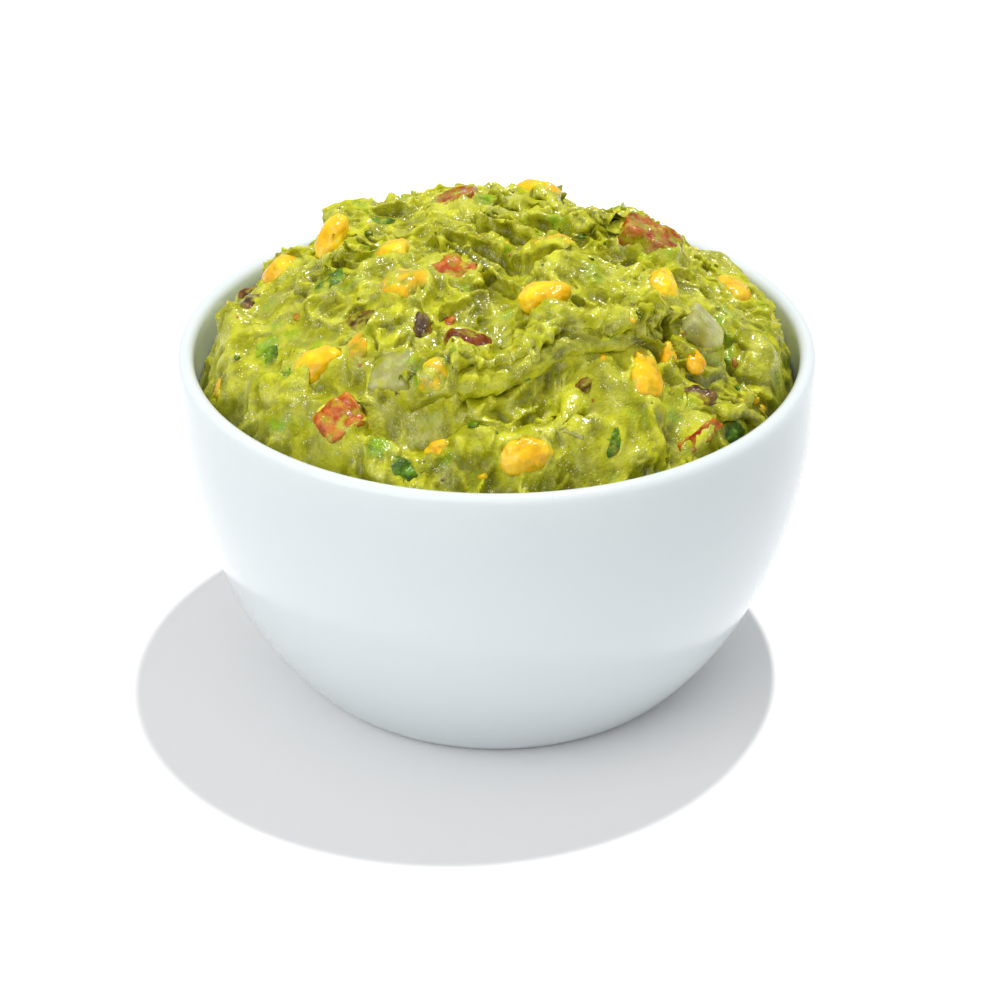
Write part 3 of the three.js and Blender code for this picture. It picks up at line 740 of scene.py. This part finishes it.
def mashed_avocado():
    """Mashed avocado: pulp scatters light just under a wet, oily surface, so it is soft with tiny glints."""
    material, tree, shader, place = begin("mashed_avocado")
    tree.links.new(guacamole_colour(tree, place), shader.inputs["Base Color"])
    pulp_scatter = {
        "Subsurface Weight": 0.3,
        "Subsurface Radius": (1.0, 1.0, 0.2),
        "Subsurface Scale": 1.2 * MM,
    }
    set_shader(shader, {"Roughness": 0.38, "IOR": 1.42, "Specular IOR Level": 0.15, **pulp_scatter})
    pulp = add(tree, "ShaderNodeTexNoise", links={"Vector": place, "Scale": 1 / 0.7, "Detail": 4})
    wet_film(tree, shader, place, pulp, 0.4, 0.5, 0.9)
    return material


def glazed_porcelain():
    """Porcelain with a clear glaze, fired: dense white, light seeping through its lip, a hard even gloss."""
    material, tree, shader, place = begin("glazed_porcelain")
    body_scatter = {
        "Subsurface Weight": 0.6,
        "Subsurface Radius": (1.0, 1.0, 0.95),
        "Subsurface Scale": 7 * MM,
    }
    glaze = {"Roughness": 0.16, "IOR": 1.5, "Specular IOR Level": 0.35}
    set_shader(shader, {"Base Color": srgb("#CDD4D7"), **glaze, **body_scatter})
    ripple = add(tree, "ShaderNodeTexNoise", links={"Vector": place, "Scale": 1 / 18, "Detail": 1})
    waver = add(tree, "ShaderNodeBump", links={"Height": ripple.outputs["Fac"], "Distance": 0.03 * MM})
    tree.links.new(waver.outputs["Normal"], shader.inputs["Normal"])
    return material


def coated(tree, shader, place, colour, roasted):
    """The piece's own colour, roasted darker by its own amount, under guacamole low down and in smears."""
    roast = add(tree, "ShaderNodeAttribute", {"attribute_name": "roast"}).outputs["Fac"]
    ends = {AMOUNT: roast, FIRST: colour, SECOND: srgb(roasted)}
    flesh = add(tree, "ShaderNodeMix", COLOURS, ends).outputs[MIXED]
    cover = add(tree, "ShaderNodeAttribute", {"attribute_name": "cover"}).outputs["Fac"]
    smear = add(tree, "ShaderNodeTexNoise", links={"Vector": place, "Scale": 1 / 2.6, "Detail": 4})
    total = add(tree, "ShaderNodeMath", {"operation": "ADD"}, {0: cover, 1: smear.outputs["Fac"]})
    limits = {"Value": total.outputs[0], "From Min": 0.62, "From Max": 0.94}
    mask = add(tree, "ShaderNodeMapRange", SOFTLY, limits).outputs["Result"]
    ends = {AMOUNT: mask, FIRST: flesh, SECOND: guacamole_colour(tree, place)}
    tree.links.new(add(tree, "ShaderNodeMix", COLOURS, ends).outputs[MIXED], shader.inputs["Base Color"])


def roasted_corn():
    """Sweetcorn, roasted: a taut waxy skin over soft yellow flesh."""
    material, tree, shader, place = begin("roasted_corn")
    ends = {AMOUNT: blotches(tree, place, 6, 0.35, 0.65), FIRST: srgb("#E8B40E"), SECOND: srgb("#F6D41A")}
    yellow = add(tree, "ShaderNodeMix", COLOURS, ends).outputs[MIXED]
    coated(tree, shader, place, yellow, "#D08A14")
    flesh_scatter = {
        "Subsurface Weight": 0.35,
        "Subsurface Radius": (1.0, 0.85, 0.12),
        "Subsurface Scale": 2 * MM,
    }
    set_shader(shader, {"Roughness": 0.26, "IOR": 1.42, "Specular IOR Level": 0.3, **flesh_scatter})
    skin = add(tree, "ShaderNodeTexNoise", links={"Vector": place, "Scale": 1 / 1.4, "Detail": 3})
    wet_film(tree, shader, place, skin, 0.13, 0.35)
    return material


def cut_tomato():
    """Ripe tomato, cut in dice: wet red flesh, paler and more orange towards its fibres."""
    material, tree, shader, place = begin("cut_tomato")
    ends = {AMOUNT: blotches(tree, place, 3, 0.4, 0.62, 5), FIRST: srgb("#AC3E0C"), SECOND: srgb("#CC7A26")}
    red = add(tree, "ShaderNodeMix", COLOURS, ends).outputs[MIXED]
    coated(tree, shader, place, red, "#55190A")
    flesh_scatter = {
        "Subsurface Weight": 0.5,
        "Subsurface Radius": (1.0, 0.35, 0.1),
        "Subsurface Scale": 2 * MM,
    }
    set_shader(shader, {"Roughness": 0.2, "IOR": 1.38, "Specular IOR Level": 0.25, **flesh_scatter})
    flesh = add(tree, "ShaderNodeTexNoise", links={"Vector": place, "Scale": 1 / 1.1, "Detail": 4})
    wet_film(tree, shader, place, flesh, 0.35, 0.8, 0.4)
    return material


def cut_onion():
    """White onion, cut in dice: watery and see-through, with the lines of its layers."""
    material, tree, shader, place = begin("cut_onion")
    ends = {AMOUNT: blotches(tree, place, 4, 0.35, 0.7), FIRST: srgb("#9A9B58"), SECOND: srgb("#B8BA82")}
    pale = add(tree, "ShaderNodeMix", COLOURS, ends).outputs[MIXED]
    coated(tree, shader, place, pale, "#A08A4A")
    flesh_scatter = {
        "Subsurface Weight": 0.8,
        "Subsurface Radius": (1.0, 1.0, 0.7),
        "Subsurface Scale": 4 * MM,
    }
    set_shader(shader, {"Roughness": 0.25, "IOR": 1.36, **flesh_scatter})
    bands = {"Vector": place, "Scale": 0.25, "Distortion": 1.5}
    layers = add(tree, "ShaderNodeTexWave", {"bands_direction": "DIAGONAL"}, bands)
    wet_film(tree, shader, place, layers, 0.05, 0.35)
    return material


def charred_pepper():
    """Green chilli, roasted: dark wrinkled skin, browned at its edges and blistered black in spots."""
    material, tree, shader, place = begin("charred_pepper")
    ends = {AMOUNT: blotches(tree, place, 3, 0.42, 0.6, 5), FIRST: srgb("#6E5A20"), SECOND: srgb("#140C04")}
    blistered = add(tree, "ShaderNodeMix", COLOURS, ends).outputs[MIXED]
    coated(tree, shader, place, blistered, "#9A5216")
    set_shader(shader, {"Roughness": 0.32, "IOR": 1.42, "Specular IOR Level": 0.2})
    skin = add(tree, "ShaderNodeTexNoise", links={"Vector": place, "Scale": 1 / 0.9, "Detail": 4})
    wet_film(tree, shader, place, skin, 0.4, 0.8, 0.3)
    return material


def herb_leaf():
    """Coriander leaf, torn: thin dark green, crinkled by its veins."""
    material, tree, shader, place = begin("herb_leaf")
    ends = {AMOUNT: blotches(tree, place, 2.5, 0.4, 0.65, 4), FIRST: srgb("#3E5C08"), SECOND: srgb("#649010")}
    green = add(tree, "ShaderNodeMix", COLOURS, ends).outputs[MIXED]
    coated(tree, shader, place, green, "#1E3A08")
    set_shader(shader, {"Roughness": 0.3, "IOR": 1.42, "Specular IOR Level": 0.25})
    crinkle = add(tree, "ShaderNodeTexNoise", links={"Vector": place, "Scale": 1 / 1.1, "Detail": 3})
    wet_film(tree, shader, place, crinkle, 0.5, 0.8, 0.4)
    return material


MATERIALS = {
    "porcelain": glazed_porcelain(),
    "guacamole": mashed_avocado(),
    "corn": roasted_corn(),
    "tomato": cut_tomato(),
    "onion": cut_onion(),
    "pepper": charred_pepper(),
    "leaf": herb_leaf(),
}


# Corn, tomato, onion, pepper and herbs

# For each kind: how far its surface is uneven, over what size, how much guacamole sticks to it, how often its
# solid is subdivided, and how far the solid's corners are drawn in first.
KINDS = {
    "corn": (0.5, 3.2, 0.18, 3, 0),
    "tomato": (0.7, 3.4, 0.34, 3, 0),
    "onion": (0.25, 5, 0.28, 3, 0.4),
    "pepper": (0.5, 2.6, 0.2, 2, 0),
    "leaf": (0.5, 2.2, 0.18, 2, 0),
}
PIECE_GROWTH = 1.06  # makes up for what subdivision takes off a piece's corners

# Pieces that are buried more or less than others of their kind.
COATING = {
    "corn_pale": 0.4,
    "corn_sunk": 0.42,
    "corn_middle_bright": 0.04,
    "corn_left_bright": 0.04,
    "corn_left_bright_low": 0.06,
    "corn_in_fold": 0.4,
    "corn_front": 0.16,
    "corn_upper_middle": 0.36,
    "corn_left_edge": 0.16,
    "tomato_upper_middle": 0.36,
    "tomato_right": 0.36,
    "tomato_strip": 0.22,
    "tomato_front_left": 0.28,
    "tomato_dark": 0.22,
    "onion_front": 0.5,
    "onion_right": 0.32,
    "onion_left": 0.32,
    "leaf_right": 0.02,
    "leaf_front_left": 0.05,
}

# Pieces that are roasted more or less than the rest.
USUAL_ROAST = 0.1
ROASTING = {
    "tomato_dark": 0.75,
    "tomato_top": 0.35,
    "tomato_right": 0.3,
    "corn_front": 0.15,
    "corn_right_golden": 0.3,
    "corn_right_edge": 0.3,
    "corn_pale": 0.25,
    "corn_sunk": 0.3,
    "corn_left_bright": 0,
    "corn_left_bright_low": 0,
    "corn_middle_bright": 0,
}


def uneven(points, normals, depth, size, seed):
    """Dents and creases of this depth and size, with finer ones on them."""
    dent = waves(points, size, seed) + 0.45 * waves(points, size * 0.45, seed + 1)
    return points + normals * (depth * dent + 0.14 * depth * waves(points, 0.9, seed + 2))[:, None]


def kind_of(node_name):
    """What a node is a piece of, which is the first word of its name."""
    return node_name.split("_")[0]


def cut_piece(node_name):
    """Shows a piece in its node's place. Returns its middle, its reach, its ray tree and its coating."""
    kind = kind_of(node_name)
    depth, size, coat, levels, rounding = KINDS[kind]
    coat = COATING.get(node_name, coat)
    mesh = refined(node_name, levels, rounding)
    points = points_of(mesh)
    middle = points.mean(axis=0)
    points = middle + (points - middle) * PIECE_GROWTH
    points = uneven(points, normals_of(mesh), depth, size, 90)
    move_points(mesh, points)
    above = points[:, 2] - mound(points[:, 0], points[:, 1])
    set_number(mesh, "cover", 0.7 * coat + 0.3 * (1 - ease(-1, 1.4, above)))
    patches = 0.2 * ease(0, 0.6, waves(points, 4, 92))
    set_number(mesh, "roast", ROASTING.get(node_name, USUAL_ROAST) + patches)
    piece(node_name + "_cut", mesh, kind, node_name)
    reach = np.linalg.norm(points - middle, axis=1).max()
    return middle, reach, ray_tree(points, mesh), coat


pieces = [cut_piece(node_name) for node_name in sorted(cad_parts) if kind_of(node_name) in KINDS]


# The bowl and the mound

piece("porcelain_bowl", bowl_mesh(), "porcelain", "bowl")
guacamole = guacamole_mesh(pieces)
piece("guacamole_mound", guacamole, "guacamole", "guacamole")


# Rolls and flaps that the spoon folded over

# Name, path, radius at the start and end, the share of the radius by which it is sunk, how rough it is next
# to the mound, and how often its ball is subdivided.
FOLDS = [
    ("rolled_fold", [(37, -31), (10, -52), (-19, -50)], (2.4, 5.4), 0.15, 0.4, 6),
    ("right_flap", [(43, -44), (54, -38), (61, -31)], (1.6, 2.4), 0.35, 0.7, 5),
    ("outer_flap", [(57, -37), (63, -30), (66, -20)], (1.5, 1.8), 0.35, 0.7, 5),
    ("shoulder_flap", [(-36, 5), (-39, 16), (-38, 26)], (2.2, 2.6), 0.35, 0.7, 5),
    ("crown_flap", [(26, -4), (14, -8), (2, -4)], (1.8, 1.4), 0.35, 0.7, 5),
    ("crown_curl", [(40, 10), (30, 2), (20, 4)], (1.8, 1.4), 0.35, 0.7, 5),
]
FOLD_FLATNESS = 0.85  # height of a fold as a share of its width
FOLD_SMEAR = 0.35  # how far the spoon smoothed it
BLUNTNESS = 0.22  # 0 leaves a fold's ends round, and 0.5 would cut them off square


def folded_flap(name, path, radii, sunk, rough, detail):
    """A ball stretched and bent along a path on the mound, with the mound's torn surface."""
    form = bmesh.new()
    bmesh.ops.create_icosphere(form, subdivisions=detail, radius=MM)
    mesh = new_mesh(name, form)
    ball = points_of(mesh)
    t = (ball[:, 0] + 1) / 2
    x, y = along(path, t).T
    run = along(path, t + 0.01) - along(path, t - 0.01)
    run /= np.linalg.norm(run, axis=1, keepdims=True)
    full = np.maximum(1 - ball[:, 0] ** 2, 1e-4) ** -BLUNTNESS
    radius = (radii[0] + (radii[1] - radii[0]) * t) * full
    across = ball[:, 1] * radius
    z = mound(x, y) - sunk * radius + ball[:, 2] * radius * FOLD_FLATNESS
    points = np.stack([x - run[:, 1] * across, y + run[:, 0] * across, z], axis=1)
    move_points(mesh, points)
    height, _ = roughness_of(points, np.full(len(points), FOLD_SMEAR))
    move_points(mesh, points + normals_of(mesh) * rough * height[:, None])
    # The relief's height, from which the material paints shade in the hollows and a highlight on the crests.
    set_number(mesh, "crest", height)
    piece(name, mesh, "guacamole")


for fold in FOLDS:
    folded_flap(*fold)


# Small things that lie in the guacamole

ABOVE_ALL = 140  # rays are dropped from this height
DOWN = Vector((0, 0, -1))
STREWN_REACH = 66  # nothing is strewn further out than this

ground = ray_tree(points_of(guacamole), guacamole)


def ground_under(x, y):
    """The point and normal of the finished guacamole at a place."""
    spot, normal, _, _ = ground.ray_cast(Vector((x, y, ABOVE_ALL)), DOWN)
    return spot, normal


def is_covered(spot):
    """Whether a piece lies over a point of the guacamole."""
    return any((spot - Vector(middle)).length < reach * 0.8 for middle, reach, _, _ in pieces)


def standing(normal, angle):
    """The turn that lays a thing flat on this normal, spun by this angle."""
    return Vector(normal).to_track_quat("Z", "Y") @ Quaternion((0, 0, 1), angle)


def pebble(form, middle, sizes, turn, seed, detail):
    """Adds a small uneven lump of three given sizes, turned about the normal that it lies on."""
    made = bmesh.ops.create_icosphere(form, subdivisions=detail, radius=0.5 * MM)["verts"]
    bmesh.ops.scale(form, vec=sizes, verts=made)
    local = np.array([corner.co[:] for corner in made]) / MM
    shape = local * (1 + 0.5 * waves(local + 40 * seed, 0.4 * max(sizes), 7))[:, None]
    for corner, spot in zip(made, shape):
        corner.co = Vector(spot) * MM
    placing = Matrix.Translation(Vector(middle) * MM) @ turn.to_matrix().to_4x4()
    bmesh.ops.transform(form, matrix=placing, verts=made)


def strew(name, kind, count, smallest, largest, flatness, sink, seed, detail):
    """Scatters small bits of one kind over the mound."""
    form = bmesh.new()
    for i in range(count):
        out = STREWN_REACH * math.sqrt(scatter(seed + 3 * i))
        angle = 2 * math.pi * scatter(seed + 3 * i + 1)
        spot, normal = ground_under(out * math.cos(angle), out * math.sin(angle))
        if spot is None or is_covered(spot):
            continue
        length = smallest + (largest - smallest) * scatter(seed + 3 * i + 2) ** 2
        width = length * (0.5 + 0.5 * scatter(seed + i + 0.5))
        height = length * flatness
        turn = standing(normal, 7 * scatter(seed + i + 0.7))
        pebble(form, spot - normal * sink * height, (length, width, height), turn, i, detail)
    mesh = new_mesh(name, form)
    set_number(mesh, "cover", np.full(len(mesh.vertices), 0.15))
    set_number(mesh, "roast", np.full(len(mesh.vertices), 0.2))
    piece(name, mesh, kind)


# Name, kind, how many are tried, the smallest and largest, height and sinking as shares of length and height,
# seed, and how often each ball is subdivided.
STREWN = [
    ("guacamole_crumbs", "guacamole", 520, 0.7, 2.3, 0.6, 0.3, 1000, 2),
    ("corn_bits", "corn", 26, 1.2, 3.2, 0.6, 0.25, 3000, 2),
    ("tomato_bits", "tomato", 22, 1.0, 3.0, 0.35, 0.2, 4000, 2),
    ("herb_bits", "leaf", 46, 0.8, 3.2, 0.25, 0.1, 5000, 1),
    ("char_specks", "pepper", 60, 0.5, 1.2, 0.5, 0.1, 6000, 1),
]
for row in STREWN:
    strew(*row)

# The small bits that are part of the mound's solid: kind, place and size.
BITS = [
    ("corn", (45, -33.5), 6.5),
    ("corn", (37.5, -36), 5.5),
    ("corn", (4.5, -43.5), 6),
    ("corn", (-13, -58.5), 6),
    ("corn", (60.5, -27), 4.5),
    ("corn", (-63.5, -20), 4.5),
    ("pepper", (20.5, -31.5), 5),
    ("tomato", (-10.5, -32.5), 4),
    ("pepper", (-58, 7), 5),
    ("pepper", (30.5, -26.5), 4.5),
    ("tomato", (36, -28.5), 4.5),
    ("pepper", (18.5, -50), 4.5),
]


def small_bit(number, kind, place, size):
    """One of the small bits, pressed a little into the guacamole."""
    name = f"{kind}_bit_{number + 1}"
    spot, normal = ground_under(*place)
    sizes = (size, size * 0.75, size * 0.6)
    form = bmesh.new()
    pebble(form, spot - 0.15 * size * normal, sizes, standing(normal, 5 * scatter(number)), number, 4)
    mesh = new_mesh(name, form)
    points = points_of(mesh)
    set_number(mesh, "cover", 0.08 + 0.2 * waves(points, 3, 95))
    set_number(mesh, "roast", 0.3 + 0.3 * waves(points, 3, 96))
    piece(name, mesh, kind)


for number, bit in enumerate(BITS):
    small_bit(number, *bit)


# Floor, light and camera

FLOOR_REACH = 6  # m
WORLD_STRENGTH = 0.54
KEY_DIRECTION = Vector((10.5, 14.1, 82)).normalized()
KEY_DISTANCE = 2.2  # m
KEY = {"shape": "DISK", "size": 0.09, "energy": 38}
FILL_DIRECTION = Vector((-0.58, -0.62, 0.55)).normalized()
FILL_DISTANCE = 1.5  # m
FILL = {"size": 1.2, "energy": 9}
CAMERA_PLACE = (0.78, -585.9, 383.6)
CAMERA_DIP = 30.36  # degrees below level
CAMERA_LENS = 100.55


def paper_floor():
    """A plain white sheet of paper under the bowl."""
    form = bmesh.new()
    bmesh.ops.create_grid(form, x_segments=1, y_segments=1, size=FLOOR_REACH)
    floor = in_scene("floor", new_mesh("floor", form))
    material, _, shader, _ = begin("white_paper_sweep")
    set_shader(shader, {"Base Color": srgb("#F8F8F8"), "Roughness": 0.9, "Specular IOR Level": 0.1})
    floor.data.materials.append(material)


def area_light(name, direction, distance, settings):
    """A light with these settings that shines at the bowl from this direction and distance."""
    light = bpy.data.lights.new(name, "AREA")
    for setting, value in settings.items():
        setattr(light, setting, value)
    lamp = in_scene(name, light)
    lamp.location = direction * distance
    lamp.rotation_euler = direction.to_track_quat("Z", "Y").to_euler()


paper_floor()
area_light("key", KEY_DIRECTION, KEY_DISTANCE, KEY)
area_light("fill", FILL_DIRECTION, FILL_DISTANCE, FILL)

world = bpy.data.worlds.new("studio")
bpy.context.scene.world = world
world.use_nodes = True
set_shader(world.node_tree.nodes["Background"], {"Color": (1, 1, 1, 1), "Strength": WORLD_STRENGTH})

camera = in_scene("camera", bpy.data.cameras.new("camera"))
camera.data.lens = CAMERA_LENS
camera.data.sensor_width = 36
camera.location = [part * MM for part in CAMERA_PLACE]
camera.rotation_euler = (math.radians(90 - CAMERA_DIP), 0, 0)
bpy.context.scene.camera = camera
bpy.context.scene.view_settings.view_transform = "Standard"
